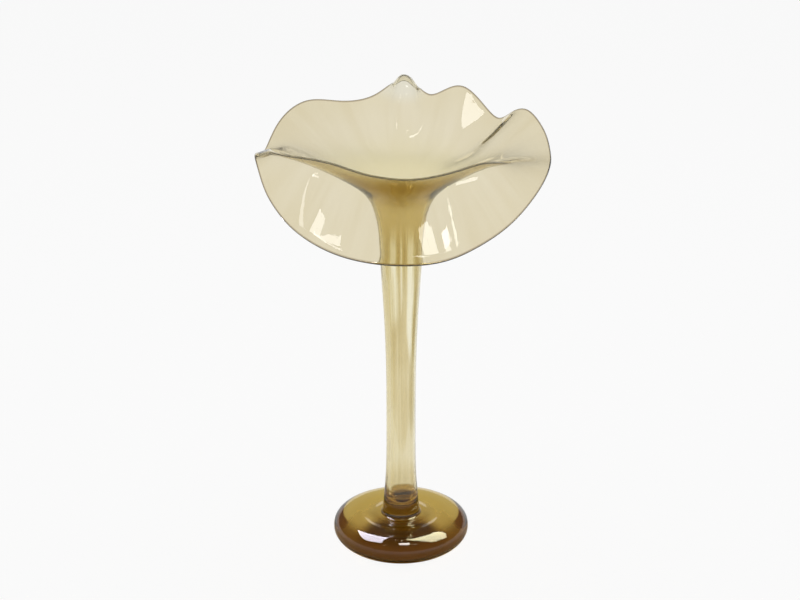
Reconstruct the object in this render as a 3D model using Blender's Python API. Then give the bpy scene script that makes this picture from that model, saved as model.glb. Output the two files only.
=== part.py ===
"""Jack-in-the-pulpit vase of amber glass: one blown body, the wafer it is joined with and a bun foot.

Metres, +Z up. The foot rests on z = 0 with its centre on the origin, and the front lip looks to -Y.
The foot and the wafer are turned. The body is lofted through rings of one B-spline surface, down its inside
too, so that its wall, its bore and its lip are one shell.
"""
import bmesh
import bpy
import numpy as np

# Welds of the real glass are kept as one named gap between the solids.
WELD_GAP = 0.0003

# Foot: a solid bun, let slump in the heat, with a shallow moat round its middle.
FOOT_RADIUS = 0.0635
FOOT_HEIGHT = 0.0293
FOOT_WIDEST_HEIGHT = 0.0155
FOOT_REST_RADIUS = 0.040
FOOT_CREST_RADIUS = 0.0390
FOOT_SHOULDER_POWER = 2.5
MOAT_RADIUS = 0.0310
MOAT_DEPTH = 0.0018
SEAT_RISE = 0.0021
SEAT_MARGIN = 0.0013

# Wafer: thick pad that carries the bubble's round bottom in its cup and flares out on to the foot.
WAFER_BASE_RADIUS = 0.0182
WAFER_BASE_EDGE = 0.0008
WAFER_FLARE_HEIGHT = 0.0040
WAFER_FLOOR = 0.0076
WAFER_NECK_WALL = 0.0018
WAFER_EDGE_WALL = 0.0009
CUP_DEPTH = 0.0090

# Bubble's round bottom, which sits in the wafer's cup.
BUBBLE_RADIUS = 0.0147
BUBBLE_WALL = 0.0038

# Stem: the outside radius and the wall at its slim part, and the height of the throat's top above the cup.
STEM_RADIUS = 0.0135
STEM_WALL = 0.0030
STEM_HEIGHT = 0.3115

# Flower: its reach at the side, and its walls at the throat's top, the fold, the petals and the lip.
FLOWER_RADIUS = 0.130
FOLD_WALL = 0.0038
PETAL_WALL = 0.0034
RIM_WALL = 0.0032
LIP_WALL = 0.0032

# Heights that follow: each piece stands on the one below.
SEAT_HEIGHT = FOOT_HEIGHT - MOAT_DEPTH + SEAT_RISE
SEAT_RADIUS = WAFER_BASE_RADIUS + SEAT_MARGIN
WAFER_BASE_HEIGHT = SEAT_HEIGHT + WELD_GAP
BUBBLE_HEIGHT = WAFER_BASE_HEIGHT + WAFER_FLOOR
CUP_EDGE_HEIGHT = BUBBLE_HEIGHT + CUP_DEPTH
THROAT_TOP_HEIGHT = CUP_EDGE_HEIGHT + STEM_HEIGHT

# Bubble: each of its controls as shares of its radius and of the cup's depth.
BUBBLE_SHARES = (
    (0.00, 0.00),
    (0.45, 0.00),
    (0.85, 0.13),
    (1.00, 0.60),
    (1.00, 1.20),
)

# Stem and throat: each ring of controls as shares of the stem's radius, height and wall.
STEM_SHARES = [
    (1.163, 0.0144, 1.10),
    (1.067, 0.0562, 1.03),
    (1.007, 0.1332, 1.00),
    (1.007, 0.2520, 1.00),
    (0.996, 0.3804, 1.00),
    (1.067, 0.5024, 1.07),
    (1.163, 0.5987, 1.20),
    (1.274, 0.6726, 1.37),
    (1.393, 0.7496, 1.53),
    (1.452, 0.8170, 1.67),
    (1.615, 0.8844, 1.80),
    (2.185, 0.9551, 1.73),
    (3.407, 1.0000, 1.47),
]

# Flower: azimuth in degrees (90 is the tip at the back), then reach from the axis and height above the
# throat's top of the lip, and the same of the fold's controls, as shares of the flower's radius.
FLOWER_SHARES = [
    (2, 1.004, 0.162, 0.708, 0.135),
    (13, 1.020, 0.219, 0.692, 0.108),
    (22, 1.029, 0.281, 0.677, 0.081),
    (31, 1.027, 0.331, 0.662, 0.069),
    (38, 1.002, 0.296, 0.646, 0.046),
    (45, 0.981, 0.227, 0.631, 0.023),
    (53, 0.977, 0.300, 0.615, 0.023),
    (62, 0.965, 0.412, 0.600, 0.038),
    (70, 0.938, 0.388, 0.585, 0.038),
    (77, 0.908, 0.350, 0.577, 0.038),
    (83, 0.896, 0.427, 0.577, 0.038),
    (88.5, 0.900, 0.485, 0.577, 0.038),
    (94, 0.900, 0.438, 0.577, 0.038),
    (103, 0.908, 0.338, 0.577, 0.038),
    (117, 0.931, 0.315, 0.592, 0.054),
    (132, 0.977, 0.348, 0.615, 0.077),
    (148, 0.964, 0.292, 0.669, 0.108),
    (162, 0.937, 0.205, 0.746, 0.146),
    (173, 0.935, 0.158, 0.808, 0.192),
    (182, 0.962, 0.188, 0.846, 0.231),
    (190, 0.979, 0.212, 0.854, 0.254),
    (197.5, 0.985, 0.181, 0.831, 0.277),
    (205, 0.983, 0.073, 0.777, 0.304),
    (214, 0.981, -0.021, 0.692, 0.315),
    (225, 0.973, -0.119, 0.608, 0.300),
    (239, 0.958, -0.204, 0.538, 0.258),
    (254, 0.955, -0.250, 0.500, 0.231),
    (270, 0.949, -0.269, 0.485, 0.215),
    (286, 0.951, -0.255, 0.500, 0.219),
    (300, 0.962, -0.188, 0.538, 0.238),
    (314, 0.972, -0.100, 0.592, 0.262),
    (328, 0.977, 0.000, 0.654, 0.273),
    (341, 0.989, 0.088, 0.692, 0.219),
    (352, 0.997, 0.138, 0.708, 0.173),
]
# Share of the way from the fold to the lip of the two rings between them.
PETAL_SHARES = (0.38, 0.72)
# Share of the wall that lies outside the lofted surface, at the throat's top and in the petals.
THROAT_SKIN_SHARE = 0.25
PETAL_SKIN_SHARE = 0.50

# Crease between the back petals and the right one, where the two middle rings sink.
CREASE_AZIMUTH = 43.0
CREASE_HALF_WIDTH = 7.0
CREASE_DEPTH = 0.004

# Tip: drawn up at the back and rolled over backwards.
TIP_AZIMUTH = 88.0
TIP_HALF_WIDTH = 6.3
TIP_POWER = 3.0
TIP_LIFT = 0.0295
TIP_LEAN = 0.010
TIP_ROLL_OUT = 0.010
TIP_ROLL_DOWN = 0.006

# Facets: counts, and the stretches of controls that take them.
COLUMNS_PER_STATION = 2
SEAT_START = 0.12
SEAT_END = 4
SEAT_ROWS = 12
CUP_ROWS = 9
STEM_ROWS = 9
FLOWER_SPANS = 9
FLOWER_ROWS = 13
LIP_ROWS = 5
FOOT_COLUMNS = 60
WAFER_COLUMNS = 40


def closed_weights(count, at):
    """Weights of a closed cubic B-spline with a knot at each whole number."""
    away = np.abs((np.asarray(at, float)[:, None] - np.arange(count) + count / 2) % count - count / 2)
    near = 2 / 3 - away ** 2 + away ** 3 / 2
    far = (2 - away) ** 3 / 6
    return np.where(away < 1, near, np.where(away < 2, far, 0.0))


def closed_curve(points, steps):
    """Closed smooth curve through the points, with that many steps from one to the next."""
    count = len(points)
    controls = np.linalg.solve(closed_weights(count, np.arange(count)), points)
    return closed_weights(count, np.arange(count * steps) / steps) @ controls


def open_weights(count, at):
    """Weights of an open cubic B-spline, which starts on its first control and ends on its last."""
    last = count - 3
    knots = np.concatenate([np.zeros(3), np.arange(last + 1), np.full(3, last)])
    at = np.minimum(np.asarray(at, float), last - 1e-9)[:, None]
    weights = ((at >= knots[:-1]) & (at < knots[1:])).astype(float)
    for degree in (1, 2, 3):
        rise = knots[degree:] - knots[:-degree]
        safe = np.where(rise > 0, rise, 1.0)
        up = np.where(rise > 0, (at - knots[:-degree]) / safe, 0.0)
        down = np.where(rise > 0, (knots[degree:] - at) / safe, 0.0)
        weights = up[:, :-1] * weights[:, :-1] + down[:, 1:] * weights[:, 1:]
    return weights


def glass(name, colour, roughness):
    """Material of one piece: clear coloured glass."""
    material = bpy.data.materials.new(name)
    material.use_nodes = True
    shader = material.node_tree.nodes["Principled BSDF"]
    shader.inputs["Base Color"].default_value = (*colour, 1.0)
    shader.inputs["Roughness"].default_value = roughness
    shader.inputs["Metallic"].default_value = 0.0
    shader.inputs["IOR"].default_value = 1.5
    shader.inputs["Transmission Weight"].default_value = 1.0
    material.diffuse_color = (*colour, 1.0)
    return material


def finish(shape, name, base, material):
    """Object of a closed shape, with its own origin at the height of its base."""
    bmesh.ops.recalc_face_normals(shape, faces=shape.faces)
    bmesh.ops.translate(shape, verts=shape.verts, vec=(0.0, 0.0, -base))
    mesh = bpy.data.meshes.new(name)
    shape.to_mesh(mesh)
    shape.free()
    mesh.materials.append(material)
    mesh.shade_smooth()
    mesh.set_sharp_from_angle(angle=np.radians(55))
    solid = bpy.data.objects.new(name, mesh)
    solid.location.z = base
    bpy.context.scene.collection.objects.link(solid)
    return solid


def cap(shape):
    """Flat face on each open end."""
    ends = [edge for edge in shape.edges if edge.is_boundary]
    bmesh.ops.holes_fill(shape, edges=ends, sides=0)


def turned(name, profile, columns, base, material):
    """Solid of revolution about Z from its radii and heights, flat at both ends."""
    shape = bmesh.new()
    verts = [shape.verts.new((radius, 0.0, height)) for radius, height in profile]
    edges = [shape.edges.new(pair) for pair in zip(verts, verts[1:])]
    bmesh.ops.spin(
        shape, geom=verts + edges, cent=(0.0, 0.0, 0.0), axis=(0.0, 0.0, 1.0),
        angle=2 * np.pi, steps=columns, use_merge=True,
    )
    cap(shape)
    return finish(shape, name, base, material)


def lofted(name, rings, base, material):
    """Solid through closed rings of equal counts, flat at both ends."""
    shape = bmesh.new()
    loops = [[shape.verts.new(point) for point in ring] for ring in rings]
    for lower, upper in zip(loops, loops[1:]):
        for here in range(len(lower)):
            before = here - 1
            shape.faces.new((lower[before], lower[here], upper[here], upper[before]))
    cap(shape)
    return finish(shape, name, base, material)


def foot_profile():
    """Half section of the foot, from the rim of its resting face over the bun to the rim of its seat."""
    turn = np.linspace(0, np.pi / 2, 9)
    under = np.stack([
        FOOT_REST_RADIUS + (FOOT_RADIUS - FOOT_REST_RADIUS) * np.sin(turn),
        FOOT_WIDEST_HEIGHT * (1 - np.cos(turn)),
    ], axis=-1)
    power = 2 / FOOT_SHOULDER_POWER
    over = np.stack([
        FOOT_CREST_RADIUS + (FOOT_RADIUS - FOOT_CREST_RADIUS) * np.cos(turn) ** power,
        FOOT_WIDEST_HEIGHT + (FOOT_HEIGHT - FOOT_WIDEST_HEIGHT) * np.sin(turn) ** power,
    ], axis=-1)
    across = np.linspace(0, 1, 6)[1:]
    swing = 0.5 - 0.5 * np.cos(np.pi * across)
    fall = np.stack([
        FOOT_CREST_RADIUS + (MOAT_RADIUS - FOOT_CREST_RADIUS) * across, FOOT_HEIGHT - MOAT_DEPTH * swing,
    ], axis=-1)
    rise = np.stack([
        MOAT_RADIUS + (SEAT_RADIUS - MOAT_RADIUS) * across, FOOT_HEIGHT - MOAT_DEPTH + SEAT_RISE * swing,
    ], axis=-1)
    return np.concatenate([under, over[1:], fall, rise])


def lower_sections(gap):
    """Radius and height of the controls below the flower, or of a shell that far outside them."""
    radius = BUBBLE_RADIUS + gap
    bottom = BUBBLE_HEIGHT - gap
    bubble = [(r * radius, bottom + z * CUP_DEPTH) for r, z in BUBBLE_SHARES]
    stem = [(r * STEM_RADIUS + gap, CUP_EDGE_HEIGHT + z * STEM_HEIGHT) for r, z, _ in STEM_SHARES]
    return np.array(bubble + stem)


def seat_rows():
    """Places along the lower controls, from the bubble's bottom to just above the cup."""
    return np.linspace(SEAT_START, SEAT_END, SEAT_ROWS)


def wafer_profile():
    """Half section of the wafer: out on its base, up its flare, over its edge and down into the cup."""
    shell = lower_sections(WELD_GAP)
    cup = open_weights(len(shell), seat_rows()[:CUP_ROWS][::-1]) @ shell
    edge_radius, edge_height = cup[0]
    flare_controls = np.array([
        (WAFER_BASE_RADIUS, WAFER_BASE_HEIGHT),
        (WAFER_BASE_RADIUS - 2 * WAFER_BASE_EDGE, WAFER_BASE_HEIGHT + WAFER_BASE_EDGE),
        (edge_radius + WAFER_NECK_WALL, WAFER_BASE_HEIGHT + WAFER_FLARE_HEIGHT),
        (edge_radius + WAFER_NECK_WALL, BUBBLE_HEIGHT + 0.5 * CUP_DEPTH),
        (edge_radius + WAFER_EDGE_WALL, edge_height - 0.5 * WAFER_EDGE_WALL),
    ])
    flare = open_weights(len(flare_controls), np.linspace(0, 2, 10)) @ flare_controls
    return np.concatenate([flare, cup])


def flower_rings(columns):
    """Four rings of controls of the flower, fold first and lip last, and the directions of the columns."""
    azimuth, lip_reach, lip_height, fold_reach, fold_height = np.array(FLOWER_SHARES, float).T
    azimuth = np.radians(azimuth)
    stations = np.stack([
        lip_reach * np.cos(azimuth), lip_reach * np.sin(azimuth), lip_height,
        fold_reach * np.cos(azimuth), fold_reach * np.sin(azimuth), fold_height,
    ], axis=-1) * FLOWER_RADIUS
    stations[:, [2, 5]] += THROAT_TOP_HEIGHT
    curves = closed_curve(stations, columns)
    lip, fold = curves[:, :3], curves[:, 3:]
    angle = np.arctan2(lip[:, 1], lip[:, 0])
    outward = np.stack([np.cos(angle), np.sin(angle), 0 * angle], axis=-1)
    upward = np.array([0.0, 0.0, 1.0])
    crease = np.exp(-((np.degrees(angle) - CREASE_AZIMUTH) / CREASE_HALF_WIDTH) ** 2)[:, None]
    inner, outer = [fold + share * (lip - fold) - CREASE_DEPTH * crease * upward for share in PETAL_SHARES]
    tip = np.exp(-np.abs((np.degrees(angle) - TIP_AZIMUTH) / TIP_HALF_WIDTH) ** TIP_POWER)[:, None]
    outer = outer + tip * (TIP_LEAN * outward + TIP_LIFT * upward)
    lip = lip + tip * (TIP_ROLL_OUT * outward - TIP_ROLL_DOWN * upward)
    return [fold, inner, outer, lip], outward


def body_rings():
    """Rings of the blown body: up its outer skin, round the lip and down its inner skin."""
    flower, outward = flower_rings(COLUMNS_PER_STATION)
    sections = lower_sections(0.0)
    controls = [r * outward + np.array([0.0, 0.0, z]) for r, z in sections] + flower
    walls = [BUBBLE_WALL] * (len(sections) - len(STEM_SHARES))
    walls += [share * STEM_WALL for _, _, share in STEM_SHARES] + [FOLD_WALL, PETAL_WALL, RIM_WALL, LIP_WALL]
    skins = [0.0] * (len(sections) - 1) + [THROAT_SKIN_SHARE] + [PETAL_SKIN_SHARE] * len(flower)
    last = len(controls) - 3
    rows = np.concatenate([
        seat_rows()[:-1],
        np.linspace(SEAT_END, last - FLOWER_SPANS, STEM_ROWS)[:-1],
        np.linspace(last - FLOWER_SPANS, last - 1, FLOWER_ROWS)[:-1],
        np.linspace(last - 1, last, LIP_ROWS),
    ])
    weights = open_weights(len(controls), rows)
    surface = np.einsum("rc,cvk->rvk", weights, np.stack(controls))
    wall = (weights @ np.array(walls))[:, None, None]
    share = (weights @ np.array(skins))[:, None, None]

    # Both skins stand along the surface's normal: one outside it, and the other a wall further in.
    near = 0.01
    above = open_weights(len(controls), np.minimum(rows + near, last))
    below = open_weights(len(controls), np.maximum(rows - near, 0))
    along = np.einsum("rc,cvk->rvk", above - below, np.stack(controls))
    around = np.roll(surface, -1, axis=1) - np.roll(surface, 1, axis=1)
    normal = np.cross(along, around)
    normal /= np.linalg.norm(normal, axis=-1, keepdims=True)
    outside = surface - share * wall * normal
    inside = outside + wall * normal

    # The lip is fire-polished: a half round between the two skins.
    middle = (outside[-1] + inside[-1]) / 2
    half = (inside[-1] - outside[-1]) / 2
    ahead = along[-1] / np.linalg.norm(along[-1], axis=-1, keepdims=True)
    bulge = ahead * np.linalg.norm(half, axis=-1, keepdims=True)
    turns = np.pi * np.array([0.25, 0.5, 0.75])
    lip = [middle - np.cos(turn) * half + np.sin(turn) * bulge for turn in turns]
    return np.concatenate([outside, np.stack(lip), inside[::-1]])


for old in list(bpy.data.objects):
    bpy.data.objects.remove(old, do_unlink=True)

foot_glass = glass("deep_amber_glass", (0.52, 0.33, 0.08), 0.03)
wafer_glass = glass("olive_amber_glass", (0.60, 0.44, 0.14), 0.02)
body_glass = glass("pale_amber_glass", (0.80, 0.68, 0.36), 0.02)

foot = turned("foot", foot_profile(), FOOT_COLUMNS, 0.0, foot_glass)
joining_wafer = turned("joining_wafer", wafer_profile(), WAFER_COLUMNS, WAFER_BASE_HEIGHT, wafer_glass)
blown_body = lofted("blown_body", body_rings(), BUBBLE_HEIGHT, body_glass)
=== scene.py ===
"""Amber glass jack-in-the-pulpit vase: its looks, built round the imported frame.

Metres, +Z up, the front lip towards -Y. The foot, the wafer and the blown body were welded hot, and light
crosses those welds as if they weren't there, so the whole vase is one closed skin of glass.
"""

import bpy
import numpy as np
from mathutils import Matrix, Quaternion, Vector


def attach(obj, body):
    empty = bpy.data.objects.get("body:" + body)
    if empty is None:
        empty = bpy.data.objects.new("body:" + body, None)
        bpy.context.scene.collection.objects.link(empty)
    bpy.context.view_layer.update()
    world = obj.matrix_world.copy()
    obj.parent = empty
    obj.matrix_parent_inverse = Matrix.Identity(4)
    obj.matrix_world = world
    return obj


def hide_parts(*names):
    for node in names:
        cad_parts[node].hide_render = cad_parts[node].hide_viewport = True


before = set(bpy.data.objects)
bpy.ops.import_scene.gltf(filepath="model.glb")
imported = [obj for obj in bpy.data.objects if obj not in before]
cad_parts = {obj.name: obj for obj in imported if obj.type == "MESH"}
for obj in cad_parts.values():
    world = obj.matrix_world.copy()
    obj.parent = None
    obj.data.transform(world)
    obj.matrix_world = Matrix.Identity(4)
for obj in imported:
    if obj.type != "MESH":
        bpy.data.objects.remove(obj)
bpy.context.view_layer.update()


# Foot: a solid bun of deep amber glass, dropped hot on the marver and let slump, with a shallow moat where
# the wafer presses it down. Its resting face is ground flat and lightly polished.
FOOT_RADIUS = 0.0635
FOOT_HEIGHT = 0.0293
FOOT_WIDEST_HEIGHT = 0.0155
FOOT_REST_RADIUS = 0.040
FOOT_REST_BEVEL = 0.0012
FOOT_CREST_RADIUS = 0.0390
FOOT_SHOULDER_POWER = 2.5
MOAT_RADIUS = 0.0310
MOAT_DEPTH = 0.0018
SEAT_RISE = 0.0021
WAFER_BASE_RADIUS = 0.0195
FOOT_FACE_START = 0.16
FOOT_FACE_RINGS = 5
FOOT_CURVE_RINGS = 18
MOAT_RINGS = 9


def foot_section():
    """Half section of the foot as radii and heights.

    The resting face is flat. The underside is a quarter wave, r = rest + (wide - rest) sin t and
    z = widest (1 - cos t). The shoulder is a superellipse of that power. The moat falls from the crest and
    rises again to the wafer, each by half a cosine.
    """
    flat = np.linspace(FOOT_FACE_START, 1, FOOT_FACE_RINGS) * (FOOT_REST_RADIUS - FOOT_REST_BEVEL)
    face = np.stack([flat, 0 * flat], axis=-1)
    turn = np.linspace(0, np.pi / 2, FOOT_CURVE_RINGS + 1)[1:]
    under = np.stack([
        FOOT_REST_RADIUS + (FOOT_RADIUS - FOOT_REST_RADIUS) * np.sin(turn),
        FOOT_WIDEST_HEIGHT * (1 - np.cos(turn)),
    ], axis=-1)
    power = 2 / FOOT_SHOULDER_POWER
    over = np.stack([
        FOOT_CREST_RADIUS + (FOOT_RADIUS - FOOT_CREST_RADIUS) * np.cos(turn) ** power,
        FOOT_WIDEST_HEIGHT + (FOOT_HEIGHT - FOOT_WIDEST_HEIGHT) * np.sin(turn) ** power,
    ], axis=-1)
    across = np.linspace(0, 1, MOAT_RINGS + 1)[1:]
    swing = 0.5 - 0.5 * np.cos(np.pi * across)
    fall = np.stack([
        FOOT_CREST_RADIUS + (MOAT_RADIUS - FOOT_CREST_RADIUS) * across,
        FOOT_HEIGHT - MOAT_DEPTH * swing,
    ], axis=-1)
    rise = np.stack([
        MOAT_RADIUS + (WAFER_BASE_RADIUS - MOAT_RADIUS) * across,
        FOOT_HEIGHT - MOAT_DEPTH + SEAT_RISE * swing,
    ], axis=-1)
    return np.concatenate([face, under, over, fall, rise[:-1]])


# Joining wafer: a bit of hot glass between the foot and the bubble. It wets both, so its skin flares out
# into the moat below and runs into the stem above without a line. A row is a radius, a height and a wall, in
# millimetres.
MM = 0.001
WAFER_MM = [
    (19.5, 29.6, 5.2),
    (18.4, 29.8, 5.2),
    (17.4, 31.8, 5.2),
    (16.8, 37.0, 5.2),
    (16.3, 44.0, 4.8),
]
CUP_EDGE_HEIGHT = 0.0465


# Blown body, its stem: one long bubble drawn out between the wafer and the mouth. Its controls are shares of
# the stem's radius, height and wall, and its round bottom is seen through the wafer.
STEM_RADIUS = 0.0135
STEM_HEIGHT = 0.3115
STEM_WALL = 0.0030
STEM_SHARES = [
    (1.163, 0.0144, 1.10),
    (1.067, 0.0562, 1.03),
    (1.007, 0.1332, 1.00),
    (1.007, 0.2520, 1.00),
    (0.996, 0.3804, 1.00),
    (1.067, 0.5024, 1.07),
    (1.163, 0.5987, 1.20),
    (1.274, 0.6726, 1.28),
    (1.393, 0.7496, 1.28),
    (1.452, 0.8170, 1.23),
    (1.615, 0.8844, 1.17),
    (2.185, 0.9551, 0.95),
    (3.407, 1.0000, 0.70),
]
BORE_START_HEIGHT = 0.0500
BORE_BOTTOM_HEIGHT = 0.0413
BORE_BOTTOM_POWER = 2.5
BORE_BOTTOM_RINGS = 10
BORE_DRIFT = 0.35
BORE_DRIFT_SECTIONS = 13


# Blown body, its flower: the mouth, opened with the jacks, let fall forward over its own fold, pulled to a
# tip at the back and waved by hand. Each station is an azimuth in degrees, then the lip's reach and height
# and the fold's reach and height, as shares of the flower's radius and counted from the throat's top.
FLOWER_RADIUS = 0.12995
FLOWER_SHARES = [
    (2, 1.004, 0.162, 0.708, 0.135),
    (13, 1.020, 0.219, 0.692, 0.108),
    (22, 1.029, 0.281, 0.677, 0.081),
    (31, 1.027, 0.331, 0.662, 0.069),
    (38, 1.002, 0.296, 0.646, 0.046),
    (45, 0.981, 0.227, 0.631, 0.023),
    (53, 0.977, 0.300, 0.615, 0.023),
    (62, 0.965, 0.412, 0.600, 0.038),
    (70, 0.938, 0.388, 0.585, 0.038),
    (77, 0.908, 0.350, 0.577, 0.038),
    (83, 0.896, 0.427, 0.577, 0.038),
    (88.5, 0.900, 0.485, 0.577, 0.038),
    (94, 0.900, 0.438, 0.577, 0.038),
    (103, 0.908, 0.338, 0.577, 0.038),
    (117, 0.931, 0.315, 0.592, 0.054),
    (132, 0.977, 0.348, 0.615, 0.077),
    (148, 0.964, 0.292, 0.669, 0.108),
    (162, 0.937, 0.205, 0.746, 0.146),
    (173, 0.935, 0.158, 0.808, 0.192),
    (182, 0.962, 0.188, 0.846, 0.231),
    (190, 0.979, 0.212, 0.854, 0.254),
    (197.5, 0.985, 0.181, 0.831, 0.277),
    (205, 0.983, 0.073, 0.777, 0.304),
    (214, 0.981, -0.021, 0.692, 0.315),
    (225, 0.973, -0.119, 0.608, 0.300),
    (239, 0.958, -0.204, 0.538, 0.258),
    (254, 0.955, -0.250, 0.500, 0.231),
    (270, 0.949, -0.269, 0.485, 0.215),
    (286, 0.951, -0.255, 0.500, 0.219),
    (300, 0.962, -0.188, 0.538, 0.238),
    (314, 0.972, -0.100, 0.592, 0.262),
    (328, 0.977, 0.000, 0.654, 0.273),
    (341, 0.989, 0.088, 0.692, 0.219),
    (352, 0.997, 0.138, 0.708, 0.173),
]
PETAL_SHARES = (0.38, 0.72)
FLOWER_WALLS = [0.0016, 0.0021, 0.0025, 0.0029]
STEM_SKIN_SHARE = 0.0
THROAT_SKIN_SHARE = 0.25
FLOWER_SKIN_SHARE = 0.5
CREASE_AZIMUTH = 44.0
CREASE_HALF_WIDTH = 4.5
CREASE_DEPTH = 0.0045
TIP_AZIMUTH = 88.0
TIP_HALF_WIDTH = 6.3
TIP_POWER = 3.0
TIP_LIFT = 0.0295
TIP_LEAN = 0.010
TIP_ROLL_OUT = 0.010
TIP_ROLL_DOWN = 0.006
TIP_THINNING = 0.45
COLUMNS_PER_STATION = 11
ROWS_PER_STEM_SPAN = 3
ROWS_PER_FLOWER_SPAN = 10
FLOWER_SPANS = 5
LIP_ROWS = 9


def closed_weights(count, at):
    """Weights of a closed cubic B-spline: 2/3 - d^2 + d^3/2 within one knot, (2 - d)^3/6 within two."""
    away = np.abs((np.asarray(at, float)[:, None] - np.arange(count) + count / 2) % count - count / 2)
    near = 2 / 3 - away ** 2 + away ** 3 / 2
    far = (2 - away) ** 3 / 6
    return np.where(away < 1, near, np.where(away < 2, far, 0.0))


def closed_curve(points, steps):
    """Closed smooth curve through the points: solve for the controls, then weigh them at each step."""
    count = len(points)
    controls = np.linalg.solve(closed_weights(count, np.arange(count)), points)
    return closed_weights(count, np.arange(count * steps) / steps) @ controls


def open_weights(count, at):
    """Weights of an open cubic B-spline, raised from steps to cubics by the two-term recurrence."""
    last = count - 3
    knots = np.concatenate([np.zeros(3), np.arange(last + 1), np.full(3, last)])
    at = np.minimum(np.asarray(at, float), last - 1e-9)[:, None]
    weights = ((at >= knots[:-1]) & (at < knots[1:])).astype(float)
    for degree in (1, 2, 3):
        rise = knots[degree:] - knots[:-degree]
        safe = np.where(rise > 0, rise, 1.0)
        up = np.where(rise > 0, (at - knots[:-degree]) / safe, 0.0)
        down = np.where(rise > 0, (knots[degree:] - at) / safe, 0.0)
        weights = up[:, :-1] * weights[:, :-1] + down[:, 1:] * weights[:, 1:]
    return weights


def flower_controls():
    """Rings of controls from the fold to the lip, the direction that each column faces, and its share of tip.

    Lip and fold are closed curves through the stations. The two rings between are shares of the way across,
    and the outer one sinks at the crease by exp(-(angle/width)^2). The tip is a bump
    exp(-|angle/width|^power), which lifts the outer ring and rolls the lip out and down over it.
    """
    azimuth, lip_reach, lip_height, fold_reach, fold_height = np.array(FLOWER_SHARES, float).T
    azimuth = np.radians(azimuth)
    stations = np.stack([
        lip_reach * np.cos(azimuth), lip_reach * np.sin(azimuth), lip_height,
        fold_reach * np.cos(azimuth), fold_reach * np.sin(azimuth), fold_height,
    ], axis=-1) * FLOWER_RADIUS
    stations[:, [2, 5]] += CUP_EDGE_HEIGHT + STEM_HEIGHT
    curves = closed_curve(stations, COLUMNS_PER_STATION)
    lip, fold = curves[:, :3], curves[:, 3:]
    angle = np.arctan2(lip[:, 1], lip[:, 0])
    outward = np.stack([np.cos(angle), np.sin(angle), 0 * angle], axis=-1)
    upward = np.array([0.0, 0.0, 1.0])
    crease = np.exp(-((np.degrees(angle) - CREASE_AZIMUTH) / CREASE_HALF_WIDTH) ** 2)[:, None]
    inner, outer = [fold + share * (lip - fold) for share in PETAL_SHARES]
    outer = outer - CREASE_DEPTH * crease * upward
    tip = np.exp(-np.abs((np.degrees(angle) - TIP_AZIMUTH) / TIP_HALF_WIDTH) ** TIP_POWER)[:, None]
    outer = outer + tip * (TIP_LEAN * outward + TIP_LIFT * upward)
    lip = lip + tip * (TIP_ROLL_OUT * outward - TIP_ROLL_DOWN * upward)
    return [fold, inner, outer, lip], outward, tip[:, 0]


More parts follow.
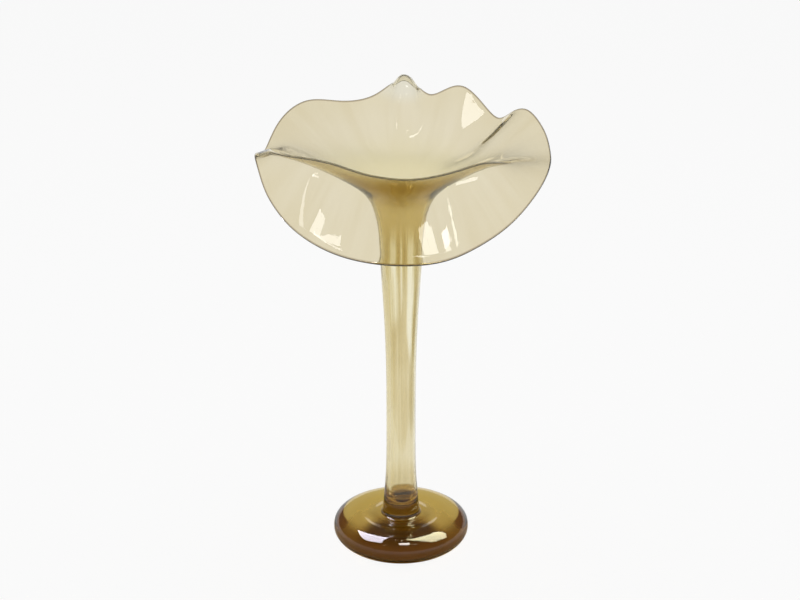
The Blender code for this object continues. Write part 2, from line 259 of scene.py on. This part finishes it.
def vase_skin():
    """Rings of the whole skin: resting face, foot, wafer, stem, flower, lip, and down the bore to its bottom.

    The shape is a B-spline surface. It is the outer skin of the stem and the middle of the petals, the other
    skin stands a wall away along the normal, the lip is a half circle between the two, and the bore's bottom
    is a superellipse of that power. In the stem the wall is thinner on the right by the bore's drift, and the
    tip is thinner than the lip beside it.
    """
    flower, outward, tip = flower_controls()
    upward = np.array([0.0, 0.0, 1.0])
    stem = np.array(STEM_SHARES) * (STEM_RADIUS, STEM_HEIGHT, STEM_WALL) + (0.0, CUP_EDGE_HEIGHT, 0.0)
    section = np.concatenate([np.array(WAFER_MM) * MM, stem])
    controls = np.stack([r * outward + z * upward for r, z, _ in section] + flower)
    walls = [wall for _, _, wall in section] + FLOWER_WALLS
    skins = [STEM_SKIN_SHARE] * (len(section) - 1) + [THROAT_SKIN_SHARE] + [FLOWER_SKIN_SHARE] * len(flower)
    last = len(controls) - 3
    flower_start = last - FLOWER_SPANS
    rows = np.concatenate([
        np.linspace(0, flower_start, flower_start * ROWS_PER_STEM_SPAN + 1)[:-1],
        np.linspace(flower_start, last, FLOWER_SPANS * ROWS_PER_FLOWER_SPAN + 1),
    ])
    weights = open_weights(len(controls), rows)
    surface = np.einsum("rc,cvk->rvk", weights, controls)
    share = (weights @ np.array(skins))[:, None, None]
    drift = weights @ np.where(np.arange(len(controls)) < BORE_DRIFT_SECTIONS, BORE_DRIFT, 0.0)
    wall = (weights @ np.array(walls))[:, None] * (1 - drift[:, None] * outward[:, 0])
    wall = (wall * (1 - TIP_THINNING * weights[:, -2:].sum(1)[:, None] * tip))[:, :, None]

    near = 0.01
    above = open_weights(len(controls), np.minimum(rows + near, last))
    below = open_weights(len(controls), np.maximum(rows - near, 0))
    along = np.einsum("rc,cvk->rvk", above - below, controls)
    around = np.roll(surface, -1, axis=1) - np.roll(surface, 1, axis=1)
    normal = np.cross(along, around)
    normal /= np.linalg.norm(normal, axis=-1, keepdims=True)
    outside = surface - share * wall * normal
    inside = outside + wall * normal

    middle = (outside[-1] + inside[-1]) / 2
    half = (inside[-1] - outside[-1]) / 2
    ahead = along[-1] / np.linalg.norm(along[-1], axis=-1, keepdims=True)
    bulge = ahead * np.linalg.norm(half, axis=-1, keepdims=True)
    turns = np.linspace(0, np.pi, LIP_ROWS + 2)[1:-1]
    lip = np.stack([middle - np.cos(turn) * half + np.sin(turn) * bulge for turn in turns])

    bore = inside[inside[:, :, 2].min(1) > BORE_START_HEIGHT]
    turn = np.linspace(0, np.pi / 2, BORE_BOTTOM_RINGS + 2)[1:-1, None, None]
    shrink = np.cos(turn) ** (2 / BORE_BOTTOM_POWER)
    fall = np.sin(turn) ** (2 / BORE_BOTTOM_POWER)
    bottom = bore[0] * (shrink * (1, 1, 0) + (1 - fall) * upward) + fall * BORE_BOTTOM_HEIGHT * upward
    foot = np.stack([r * outward + z * upward for r, z in foot_section()])
    lip_row = len(foot) + len(outside) + LIP_ROWS // 2
    return np.concatenate([foot, outside, lip, bore[::-1], bottom]), outward, lip_row


def ring_quads(rows, columns):
    """Quads between neighbouring rings of a grid whose rings close on themselves."""
    here = np.arange(columns)
    after = (here + 1) % columns
    lower = np.arange(rows - 1)[:, None] * columns
    upper = lower + columns
    return np.stack([lower + here, lower + after, upper + after, upper + here], axis=-1).reshape(-1, 4)


def closed_skin(name, rings, marks):
    """Mesh of quads between neighbouring rings, with a fan of triangles at each end.

    marks holds a vector for each ring and column, kept as the attribute "flow" that the cords follow.
    """
    rows, columns, _ = rings.shape
    here = np.arange(columns)
    after = (here + 1) % columns
    quads = ring_quads(rows, columns)
    first = np.stack([np.full(columns, rows * columns), after, here], axis=-1)
    end = (rows - 1) * columns
    final = np.stack([np.full(columns, rows * columns + 1), end + here, end + after], axis=-1)
    points = np.concatenate([rings.reshape(-1, 3), [rings[0].mean(0)], [rings[-1].mean(0)]])
    mesh = bpy.data.meshes.new(name)
    mesh.from_pydata(points, [], quads.tolist() + first.tolist() + final.tolist())
    flow = np.concatenate([marks.reshape(-1, 3), [marks[0].mean(0)], [marks[-1].mean(0)]])
    kept = mesh.attributes.new("flow", "FLOAT_VECTOR", "POINT")
    kept.data.foreach_set("vector", flow.ravel().astype(np.float32))
    mesh.update()
    mesh.shade_smooth()
    solid = bpy.data.objects.new(name, mesh)
    bpy.context.scene.collection.objects.link(solid)
    return solid


skin, facing, lip_row = vase_skin()
lengths = np.linalg.norm(np.diff(skin, axis=0), axis=-1).mean(1)
travel = np.concatenate([[0.0], np.cumsum(lengths)])
lip_travel = float(travel[lip_row])
flow_marks = np.broadcast_to(facing, skin.shape).copy()
flow_marks[:, :, 2] = travel[:, None]
vase = closed_skin("vase_glass", skin, flow_marks)


class Reading:
    """A number that varies over a surface: a socket on which arithmetic adds Math nodes."""

    def __init__(self, recipe, socket):
        self.recipe = recipe
        self.socket = socket

    def worked(self, operation, first, second):
        return self.recipe.reading("ShaderNodeMath", 0, {"operation": operation}, {0: first, 1: second})

    def __add__(self, other):
        return self.worked("ADD", self, other)

    def __sub__(self, other):
        return self.worked("SUBTRACT", self, other)

    def __rsub__(self, other):
        return self.worked("SUBTRACT", other, self)

    def __mul__(self, other):
        return self.worked("MULTIPLY", self, other)

    def __pow__(self, other):
        return self.worked("POWER", self, other)

    def at_most(self, other):
        return self.worked("MINIMUM", self, other)

    __radd__ = __add__
    __rmul__ = __mul__


class Recipe:
    """Nodes of one material, or of the world."""

    def __init__(self, owner):
        owner.use_nodes = True
        self.tree = owner.node_tree
        self.tree.nodes.clear()

    def node(self, kind, settings=None, sockets=None):
        """New node of that type. Its settings go first, then each socket gets a value or a link."""
        made = self.tree.nodes.new(kind)
        for name, value in (settings or {}).items():
            setattr(made, name, value)
        for name, value in (sockets or {}).items():
            source = value.socket if isinstance(value, Reading) else value
            if isinstance(source, bpy.types.NodeSocket):
                self.tree.links.new(source, made.inputs[name])
            else:
                made.inputs[name].default_value = source
        return made

    def reading(self, kind, output, settings=None, sockets=None):
        return Reading(self, self.node(kind, settings, sockets).outputs[output])

    def band(self, value, low, high):
        """0 below the low value, 1 above the high one, and smooth between them."""
        settings = {"interpolation_type": "SMOOTHSTEP"}
        return self.reading("ShaderNodeMapRange", 0, settings, {0: value, 1: low, 2: high, 3: 0.0, 4: 1.0})

    def stripe(self, value, rises, falls):
        """1 between the two pairs of values, 0 outside them, and smooth within each pair."""
        return self.band(value, *rises) * (1 - self.band(value, *falls))

    def vector(self, operation, first, second):
        """Vector made of two others by that operation."""
        return self.node("ShaderNodeVectorMath", {"operation": operation}, {0: first, 1: second}).outputs[0]

    def length(self, vector):
        return self.reading("ShaderNodeVectorMath", "Value", {"operation": "LENGTH"}, {0: vector})

    def part(self, vector, axis):
        return self.reading("ShaderNodeSeparateXYZ", axis, None, {0: vector})

    def blend(self, share, first, second):
        """Colour that share of the way from the first to the second."""
        return self.node("ShaderNodeMix", {"data_type": "RGBA"}, {0: share, 6: first, 7: second}).outputs[2]


# Glass of the whole vase: clear, with the amber in its mass, so that the thick foot is deep and the thin
# petals are straw. Faint cords run the way it was drawn, and its skin is a little uneven from the tools. A
# pair of values is where a change in its looks starts and ends, in metres unless it says so.
AMBER_MASS = (0.84, 0.76, 0.44, 1.0)
AMBER_DEPTH = 100.0
AMBER_SHADE = (0.86, 0.76, 0.48, 1.0)
CORD_SCALE = (6.0, 6.0, 7.0)
CLOUD_SCALE = 16.0

glass = bpy.data.materials.new("amber_glass")
recipe = Recipe(glass)
flow = recipe.node("ShaderNodeAttribute", {"attribute_name": "flow"}).outputs["Vector"]
sideways = recipe.part(flow, "X")
along = recipe.part(flow, "Z")
place = recipe.node("ShaderNodeTexCoord").outputs["Object"]
depth = recipe.part(place, "Y")
height = recipe.part(place, "Z")
radius = recipe.length(recipe.vector("MULTIPLY", place, (1.0, 1.0, 0.0)))
cords = recipe.reading("ShaderNodeTexNoise", 0, None, {
    "Vector": recipe.vector("MULTIPLY", flow, CORD_SCALE),
    "Scale": 1.0, "Detail": 3.0, "Roughness": 0.55, "Distortion": 0.4,
})
clouds = recipe.reading("ShaderNodeTexNoise", 0, None, {"Vector": place, "Scale": CLOUD_SCALE, "Detail": 2.0})

# Stem and petals: from straw to honey along the faint cords.
STEM_STRAW = (0.92, 0.89, 0.78, 1.0)
STEM_HONEY = (0.80, 0.73, 0.53, 1.0)
PETAL_STRAW = (0.882, 0.820, 0.66, 1.0)
PETAL_HONEY = (0.838, 0.765, 0.585, 1.0)
PETAL_RADII = (0.024, 0.040)
CORD_SHARE = 0.7
HONEY_LEVELS = (0.32, 0.68)
honey = recipe.band(cords * CORD_SHARE + clouds * (1 - CORD_SHARE), *HONEY_LEVELS)
petal = recipe.band(radius, *PETAL_RADII)
skin_colour = recipe.blend(
    petal, recipe.blend(honey, STEM_STRAW, STEM_HONEY), recipe.blend(honey, PETAL_STRAW, PETAL_HONEY),
)

# Neck below the flower, and the flower's middle: more honey, as the gather was thicker there.
NECK_HONEY = (0.85, 0.785, 0.56, 1.0)
NECK_HEIGHTS = (0.262, 0.285)
INNER_STRAW = (0.868, 0.800, 0.54, 1.0)
INNER_RADII = (0.045, 0.100)
INNER_SHARE = 0.8
neck = recipe.band(height, *NECK_HEIGHTS) * (1 - petal)
skin_colour = recipe.blend(neck, skin_colour, NECK_HONEY)
inner = petal * (1 - recipe.band(radius, *INNER_RADII)) * INNER_SHARE
skin_colour = recipe.blend(inner, skin_colour, INNER_STRAW)

# Left and right side of the stem as seen from the front: painted light, pale, but less so near the foot.
# Sides are squares of shares of its radius.
STEM_SIDE_PAINTED_LIGHT = (0.96, 0.94, 0.82, 1.0)
STEM_FOOT_HEIGHTS = (0.048, 0.070)
STEM_TOP_HEIGHTS = (0.294, 0.312)
EDGE_SIDES = (0.66, 0.86)
EDGE_HEIGHTS = (0.095, 0.115)
EDGE_LEAST = 0.2
stem_part = recipe.stripe(height, STEM_FOOT_HEIGHTS, STEM_TOP_HEIGHTS)
side_light = recipe.band(sideways * sideways, *EDGE_SIDES)
side_light = side_light * (recipe.band(height, *EDGE_HEIGHTS) * (1 - EDGE_LEAST) + EDGE_LEAST)
skin_colour = recipe.blend(side_light * stem_part, skin_colour, STEM_SIDE_PAINTED_LIGHT)

# Low clear glass of the stem, on both sides of a tongue of amber that widens upwards from its tip. Across is
# the share of the stem's radius to the right of its middle.
# This pale tint serves the low clear glass here and the stem's painted highlights below.
CLEAR_AND_HIGHLIGHT_TINT = (1.0, 1.0, 0.96, 1.0)
STEM_SLIM_RADIUS = 0.0134
STEM_SWELL = 0.0064
STEM_SWELL_HEIGHTS = (0.17, 0.31)
TONGUE_TIP_HEIGHT = 0.080
TONGUE_WIDENING = 11.0
TONGUE_MIDDLE = 0.05
TONGUE_EDGES = (-0.02, 0.06)
LOW_CLEAR_FOOT_HEIGHTS = (0.070, 0.085)
LOW_CLEAR_TOP_HEIGHTS = (0.130, 0.155)
LOW_CLEAR_SHARE = 0.35
swell = recipe.band(height, *STEM_SWELL_HEIGHTS) * STEM_SWELL
across = recipe.part(place, "X") * (swell + STEM_SLIM_RADIUS) ** -1.0
tongue = (height - TONGUE_TIP_HEIGHT) * TONGUE_WIDENING
off_middle = across - TONGUE_MIDDLE
low_clear = 1 - recipe.band(tongue * tongue - off_middle * off_middle, *TONGUE_EDGES)
low_clear = low_clear * recipe.stripe(height, LOW_CLEAR_FOOT_HEIGHTS, LOW_CLEAR_TOP_HEIGHTS)
skin_colour = recipe.blend(low_clear * LOW_CLEAR_SHARE, skin_colour, CLEAR_AND_HIGHLIGHT_TINT)

# Cords of the stem, amber, and pale streaks that are painted highlights, where the stem mirrors the windows.
# Each is its left and its right edge across, the heights where it starts, its strength, and how far to the
# right its left edge lies low down, with the heights where that ends.
AMBER_CORD = (0.60, 0.52, 0.27, 1.0)
AMBER_CORDS = [
    ((-0.86, -0.78), (-0.62, -0.56), (0.150, 0.190), 0.36, 0.0, (0.150, 0.190)),
    ((-0.20, -0.16), (-0.10, -0.06), (0.150, 0.190), 0.24, 0.0, (0.150, 0.190)),
    ((0.07, 0.11), (0.19, 0.25), (0.235, 0.275), 0.30, 0.0, (0.235, 0.275)),
    ((0.66, 0.72), (0.84, 0.90), (0.105, 0.125), 0.40, -0.1, (0.165, 0.190)),
    ((0.66, 0.72), (0.84, 0.90), (0.175, 0.200), 0.50, -0.1, (0.165, 0.190)),
]
# Pale streaks painted as highlights, where the stem mirrors the windows.
STEM_PAINTED_HIGHLIGHTS = [
    ((-0.58, -0.53), (-0.27, -0.22), (0.212, 0.235), 1.0, 0.0, (0.212, 0.235)),
    ((-0.06, -0.02), (0.02, 0.07), (0.228, 0.245), 0.8, 0.0, (0.228, 0.245)),
    ((0.24, 0.34), (0.63, 0.68), (0.182, 0.200), 1.0, 0.2, (0.185, 0.225)),
]


def strength_of(drawn, recipe, across, height):
    """Sum over the streaks of strength * inside(across) * started(height)."""
    total = 0
    for left, right, starts, strength, lean, straightens in drawn:
        leaning = (1 - recipe.band(height, *straightens)) * lean
        inside = recipe.band(across - leaning, *left) * (1 - recipe.band(across, *right))
        total = inside * recipe.band(height, *starts) * strength + total
    return total


amber = strength_of(AMBER_CORDS, recipe, across, height)
skin_colour = recipe.blend(amber * stem_part, skin_colour, AMBER_CORD)
clear = strength_of(STEM_PAINTED_HIGHLIGHTS, recipe, across, height)
skin_colour = recipe.blend(clear * stem_part, skin_colour, CLEAR_AND_HIGHLIGHT_TINT)

# Throat: deep amber, in front right up to the fold, and at the back only low down.
THROAT_AMBER = (0.50, 0.36, 0.09, 1.0)
THROAT_HEIGHTS = (0.330, 0.366)
THROAT_RADII = (0.046, 0.070)
THROAT_BACK_HEIGHTS = (0.334, 0.349)
THROAT_BACK_DEPTHS = (-0.008, 0.026)
throat = recipe.band(height, *THROAT_HEIGHTS) * (1 - recipe.band(radius, *THROAT_RADII))
throat_back = recipe.band(height, *THROAT_BACK_HEIGHTS) * recipe.band(depth, *THROAT_BACK_DEPTHS)
skin_colour = recipe.blend(throat * (1 - throat_back), skin_colour, THROAT_AMBER)

# Tip and lip: the tip was drawn out thin and pale. Along the fire-polished lip runs a dark line of painted
# shade, the look of its edge seen side-on, but not over the tip's top.
TIP_STRAW = (0.885, 0.855, 0.75, 1.0)
LIP_PAINTED_SHADE = (0.36, 0.30, 0.22, 1.0)
TIP_HEIGHTS = (0.397, 0.411)
TIP_SIDES = (0.015, 0.045)
TIP_TOP_SIDES = (0.004, 0.009)
LIP_LINE = (0.0016, 0.0026)
raised = recipe.band(height, *TIP_HEIGHTS)
tip = raised * (1 - recipe.band(sideways * sideways, *TIP_SIDES))
skin_colour = recipe.blend(tip, skin_colour, TIP_STRAW)
tip_top = raised * (1 - recipe.band(sideways * sideways, *TIP_TOP_SIDES))
from_lip = along - lip_travel
lip_shade = 1 - recipe.band(from_lip * from_lip, LIP_LINE[0] ** 2, LIP_LINE[1] ** 2)
skin_colour = recipe.blend(lip_shade * (1 - tip_top), skin_colour, LIP_PAINTED_SHADE)

# Wafer: its thick amber, darkened further by painted shade where it shows the dark foot through it.
WAFER_PAINTED_SHADE = (0.16, 0.10, 0.02, 1.0)
WAFER_FOOT_HEIGHTS = (0.0320, 0.0345)
WAFER_TOP_HEIGHTS = (0.0425, 0.0450)
WAFER_RADII = (0.0196, 0.0205)
wafer = recipe.stripe(height, WAFER_FOOT_HEIGHTS, WAFER_TOP_HEIGHTS)
skin_colour = recipe.blend(wafer * (1 - recipe.band(radius, *WAFER_RADII)), skin_colour, WAFER_PAINTED_SHADE)

# Finish: fire-polished but for the ground resting face, and more uneven in the stem than elsewhere.
GROUND_HEIGHTS = (0.0002, 0.0010)
GROUND_ROUGHNESS = 0.30
CLOUD_ROUGHNESS = 0.02
TOOLED_HEIGHTS = (0.028, 0.045)
TOOLED_RADII = (0.020, 0.036)
TOOLED_LEAST = 0.25
TOOLED_CORD_SHARE = 0.35
ground = 1 - recipe.band(height, *GROUND_HEIGHTS)
tooled = recipe.band(height, *TOOLED_HEIGHTS) * (1 - recipe.band(radius, *TOOLED_RADII))
tooled = tooled * (1 - TOOLED_LEAST) + TOOLED_LEAST
unevenness = (cords * TOOLED_CORD_SHARE + clouds * (1 - TOOLED_CORD_SHARE)) * tooled
bump = recipe.node("ShaderNodeBump", None, {"Strength": 0.35, "Distance": 0.0012, "Height": unevenness})
shader = recipe.node("ShaderNodeBsdfPrincipled", None, {
    "Base Color": skin_colour,
    "Roughness": ground * GROUND_ROUGHNESS + clouds * CLOUD_ROUGHNESS,
    "IOR": 1.5,
    "Transmission Weight": 1.0,
    "Normal": bump.outputs[0],
})
through = recipe.node("ShaderNodeBsdfTransparent", None, {"Color": AMBER_SHADE})
shadowed = Reading(recipe, recipe.node("ShaderNodeLightPath").outputs["Is Shadow Ray"])
surface = recipe.node("ShaderNodeMixShader", None, {0: shadowed, 1: shader.outputs[0], 2: through.outputs[0]})
mass = recipe.node("ShaderNodeVolumeAbsorption", None, {"Color": AMBER_MASS, "Density": AMBER_DEPTH})
recipe.node("ShaderNodeOutputMaterial", None, {"Surface": surface.outputs[0], "Volume": mass.outputs[0]})
vase.data.materials.append(glass)
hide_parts("blown_body", "joining_wafer", "foot")
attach(vase, "root")


# Floor and backdrop: a round sweep of white paper that the vase stands in, level and then curved up on every
# side. It looks as white in the glass as beside it, and it keeps the shadow. Under the foot it is dark, as it
# lies in the foot's own shadow, and close by its white isn't mirrored.
PAPER_RADIUS = 6.0
PAPER_CORE_RADIUS = 0.1
PAPER_BEND = 0.7
PAPER_TOP = 1.4
PAPER_DROP = 0.0003
PAPER_COLUMNS = 72
PAPER_LEVEL_RINGS = 7
PAPER_BEND_RINGS = 17
PAPER_WHITE = (0.80, 0.80, 0.80, 1.0)
PAPER_GLOW = 0.93
PAPER_UNDER_FOOT = (0.05, 0.032, 0.012, 1.0)
UNDER_FOOT_MIDDLE = (0.0, -0.024, 0.0)
UNDER_FOOT_RADII = (0.028, 0.045)
MIRRORED_RADII = (0.07, 0.22)


def paper_sweep():
    """Rings of the sweep: level out to the bend, a quarter circle of that radius, then upright to the top."""
    turn = np.linspace(0, np.pi / 2, PAPER_BEND_RINGS)
    level = np.linspace(PAPER_CORE_RADIUS, PAPER_RADIUS - PAPER_BEND, PAPER_LEVEL_RINGS + 1)[:-1]
    radius = np.concatenate([level, PAPER_RADIUS - PAPER_BEND + PAPER_BEND * np.sin(turn), [PAPER_RADIUS]])
    rise = np.concatenate([0 * level, PAPER_BEND * (1 - np.cos(turn)), [PAPER_TOP]]) - PAPER_DROP
    around = np.arange(PAPER_COLUMNS) * 2 * np.pi / PAPER_COLUMNS
    return np.stack([
        radius[:, None] * np.cos(around), radius[:, None] * np.sin(around), rise[:, None] + 0 * around,
    ], axis=-1)


sweep = paper_sweep()
faces = ring_quads(len(sweep), PAPER_COLUMNS)[:, [0, 3, 2, 1]].tolist()
core = list(range(PAPER_COLUMNS))
paper_mesh = bpy.data.meshes.new("paper_sweep")
paper_mesh.from_pydata(sweep.reshape(-1, 3), [], faces + [core])
paper_mesh.shade_smooth()
paper = bpy.data.objects.new("paper_sweep", paper_mesh)
bpy.context.scene.collection.objects.link(paper)
paper_white = bpy.data.materials.new("white_paper")
recipe = Recipe(paper_white)
place = recipe.node("ShaderNodeTexCoord").outputs["Object"]
mirrored = recipe.band(recipe.length(place), *MIRRORED_RADII)
from_middle = recipe.length(recipe.vector("SUBTRACT", place, UNDER_FOOT_MIDDLE))
under_foot = 1 - recipe.band(from_middle, *UNDER_FOOT_RADII)
rays = recipe.node("ShaderNodeLightPath").outputs
seen = Reading(recipe, rays["Is Camera Ray"]) + Reading(recipe, rays["Is Glossy Ray"]) * mirrored
seen = (seen + Reading(recipe, rays["Is Transmission Ray"]) * (1 - under_foot)).at_most(1.0)
paper_colour = recipe.blend(under_foot, PAPER_WHITE, PAPER_UNDER_FOOT)
matt = recipe.node("ShaderNodeBsdfDiffuse", None, {"Color": paper_colour})
glow = recipe.node("ShaderNodeEmission", None, {"Color": (1.0, 1.0, 1.0, 1.0), "Strength": 1.0})
sheet_surface = recipe.node("ShaderNodeMixShader", None, {
    0: seen * PAPER_GLOW, 1: matt.outputs[0], 2: glow.outputs[0],
})
recipe.node("ShaderNodeOutputMaterial", None, {"Surface": sheet_surface.outputs[0]})
paper_mesh.materials.append(paper_white)


# Light: the panes of a room's windows, and a soft lamp overhead. Each pane is a point of the glass, the
# direction in which that point mirrors it as an azimuth to the right of the front and an elevation, its
# distance, its width and height, a roll in degrees, and its radiance in red, green and blue.
WINDOWS = [
    ("pane_lobe_patch", (-0.086, -0.088, 0.348), -50.45, 52.52, 0.80, (0.028, 0.008), 39.9, (4.0, 4.0, 4.0)),
    ("pane_lobe_post", (-0.070, -0.094, 0.346), -43.57, 56.69, 0.80, (0.023, 0.086), -66.6, (6.0, 6.0, 6.0)),
    ("pane_lobe_bar", (-0.056, -0.107, 0.335), -47.18, 59.76, 0.80, (0.018, 0.109), -25.2, (6.0, 6.0, 6.0)),
    ("pane_lobe_right", (0.022, -0.112, 0.335), 18.71, 67.35, 0.80, (0.0056, 0.0680), 27.9, (7.0, 7.0, 6.6)),
    ("pane_lobe_corner", (0.022, -0.112, 0.335), 16.59, 65.82, 0.80, (0.0165, 0.0420), 29.8, (7.0, 7.0, 6.6)),
    ("pane_lobe_strip", (0.036, -0.106, 0.341), 14.00, 66.30, 0.80, (0.0050, 0.0270), 43, (5.0, 5.0, 5.0)),
    ("pane_back", (0.065, 0.097, 0.396), 27.17, 63.86, 0.80, (0.1800, 0.0780), -13.2, (6.0, 6.0, 6.0)),
    ("pane_foot_left", (-0.026, -0.048, 0.027), -135.30, 61.90, 0.30, (0.217, 0.117), 25, (15.0, 14.6, 17.0)),
    ("pane_foot_right", (0.029, -0.047, 0.027), 128.50, 59.90, 0.30, (0.2570, 0.1370), 9, (14.0, 13.6, 9.0)),
    ("pane_foot_small", (0.003, -0.058, 0.026), 55.70, 86.80, 0.25, (0.047, 0.077), -51, (18.0, 18.0, 18.0)),
]
OVERHEAD_SIZE = 1.6
OVERHEAD_POWER = 16.0
OVERHEAD_PLACE = (0.0, 0.3, 1.9)
VASE_MIDDLE = (0.0, 0.0, 0.25)
ROOM = (0.14, 0.14, 0.145, 1.0)


def aim(thing, target, roll=0.0):
    """Turns a lamp to shine from where it is to the target, rolled about that line by so many degrees."""
    turn = (Vector(target) - thing.location).to_track_quat("-Z", "Y")
    thing.rotation_euler = (turn @ Quaternion((0, 0, 1), np.radians(roll))).to_euler()


for lamp_name, point, azimuth, elevation, distance, (width, tall), roll, radiance in WINDOWS:
    azimuth, elevation = np.radians((azimuth, elevation))
    light = bpy.data.lights.new(lamp_name, "AREA")
    light.shape = "RECTANGLE"
    light.size = width
    light.size_y = tall
    light.energy = max(radiance) * np.pi * width * tall
    light.color = [share / max(radiance) for share in radiance]
    lamp = bpy.data.objects.new(lamp_name, light)
    towards = (np.sin(azimuth) * np.cos(elevation), -np.cos(azimuth) * np.cos(elevation), np.sin(elevation))
    lamp.location = Vector(point) + distance * Vector(towards)
    lamp.visible_camera = False
    lamp.visible_diffuse = False
    lamp.visible_transmission = False
    aim(lamp, point, roll)
    bpy.context.scene.collection.objects.link(lamp)

light = bpy.data.lights.new("soft_overhead", "AREA")
light.size = OVERHEAD_SIZE
light.energy = OVERHEAD_POWER
lamp = bpy.data.objects.new("soft_overhead", light)
lamp.location = OVERHEAD_PLACE
lamp.visible_glossy = False
lamp.visible_transmission = False
aim(lamp, VASE_MIDDLE)
bpy.context.scene.collection.objects.link(lamp)

room = bpy.data.worlds.new("dim_room")
recipe = Recipe(room)
walls = recipe.node("ShaderNodeBackground", None, {"Color": ROOM, "Strength": 1.0})
recipe.node("ShaderNodeOutputWorld", None, {"Surface": walls.outputs[0]})
bpy.context.scene.world = room


# Camera: above and in front of the vase, looking down on its foot, as far off as the photograph was taken.
CAMERA_PLACE = (-0.00095, -1.5, 0.82843)
CAMERA_TILT = 68.704
LENS_MM = 80.108
SENSOR_MM = 36.0
lens = bpy.data.cameras.new("camera")
lens.lens = LENS_MM
lens.sensor_width = SENSOR_MM
camera = bpy.data.objects.new("camera", lens)
camera.location = CAMERA_PLACE
camera.rotation_euler = (np.radians(CAMERA_TILT), 0.0, 0.0)
bpy.context.scene.collection.objects.link(camera)
bpy.context.scene.camera = camera
bpy.context.scene.view_settings.view_transform = "Standard"
